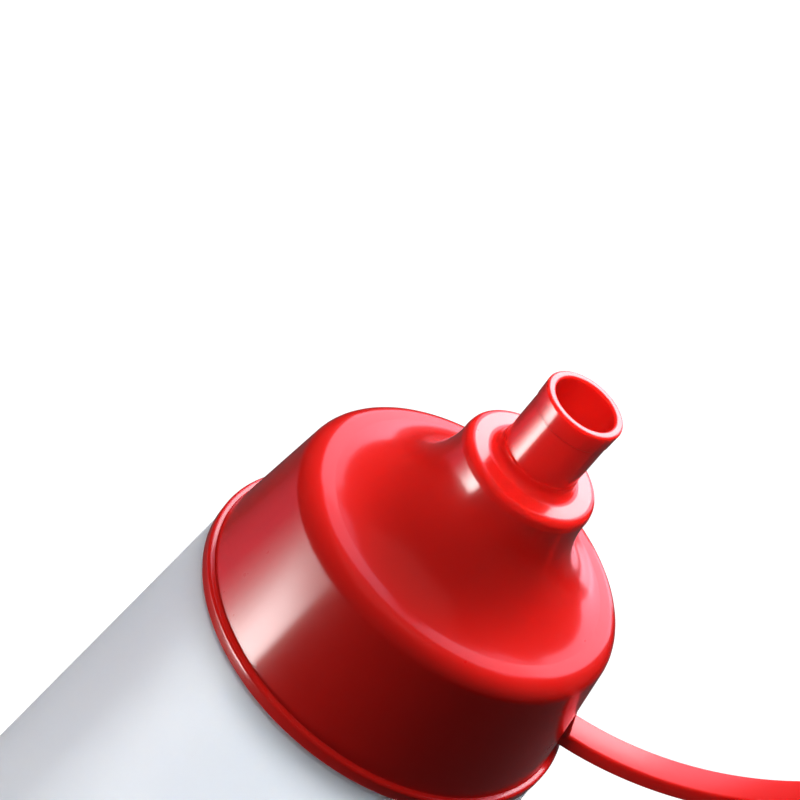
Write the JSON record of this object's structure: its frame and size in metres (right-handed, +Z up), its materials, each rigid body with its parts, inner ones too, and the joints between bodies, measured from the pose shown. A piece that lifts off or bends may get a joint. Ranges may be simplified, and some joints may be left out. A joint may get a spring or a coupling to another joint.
{
  "type": "squeeze bottle",
  "caption": "Hollow squeeze bottle with a tapered upper body and a screw closure: dished crown, stepped collar, open pouring tube, and a moulded strap that carries a tip cap.",
  "frame": {"origin": "centre of the base, on the surface that the bottle stands on", "axes": "+Z up along the bottle's axis, towards the mouth of the tube; +X towards the strap"},
  "size_m": [0.1143, 0.072, 0.2571],
  "materials": {
    "bottle_plastic": "satin, milky and translucent",
    "cap_plastic": "gloss"
  },
  "bodies": {
    "root": {"bottle": "bottle_plastic", "screw_cap": "cap_plastic"}
  },
  "joints": []
}
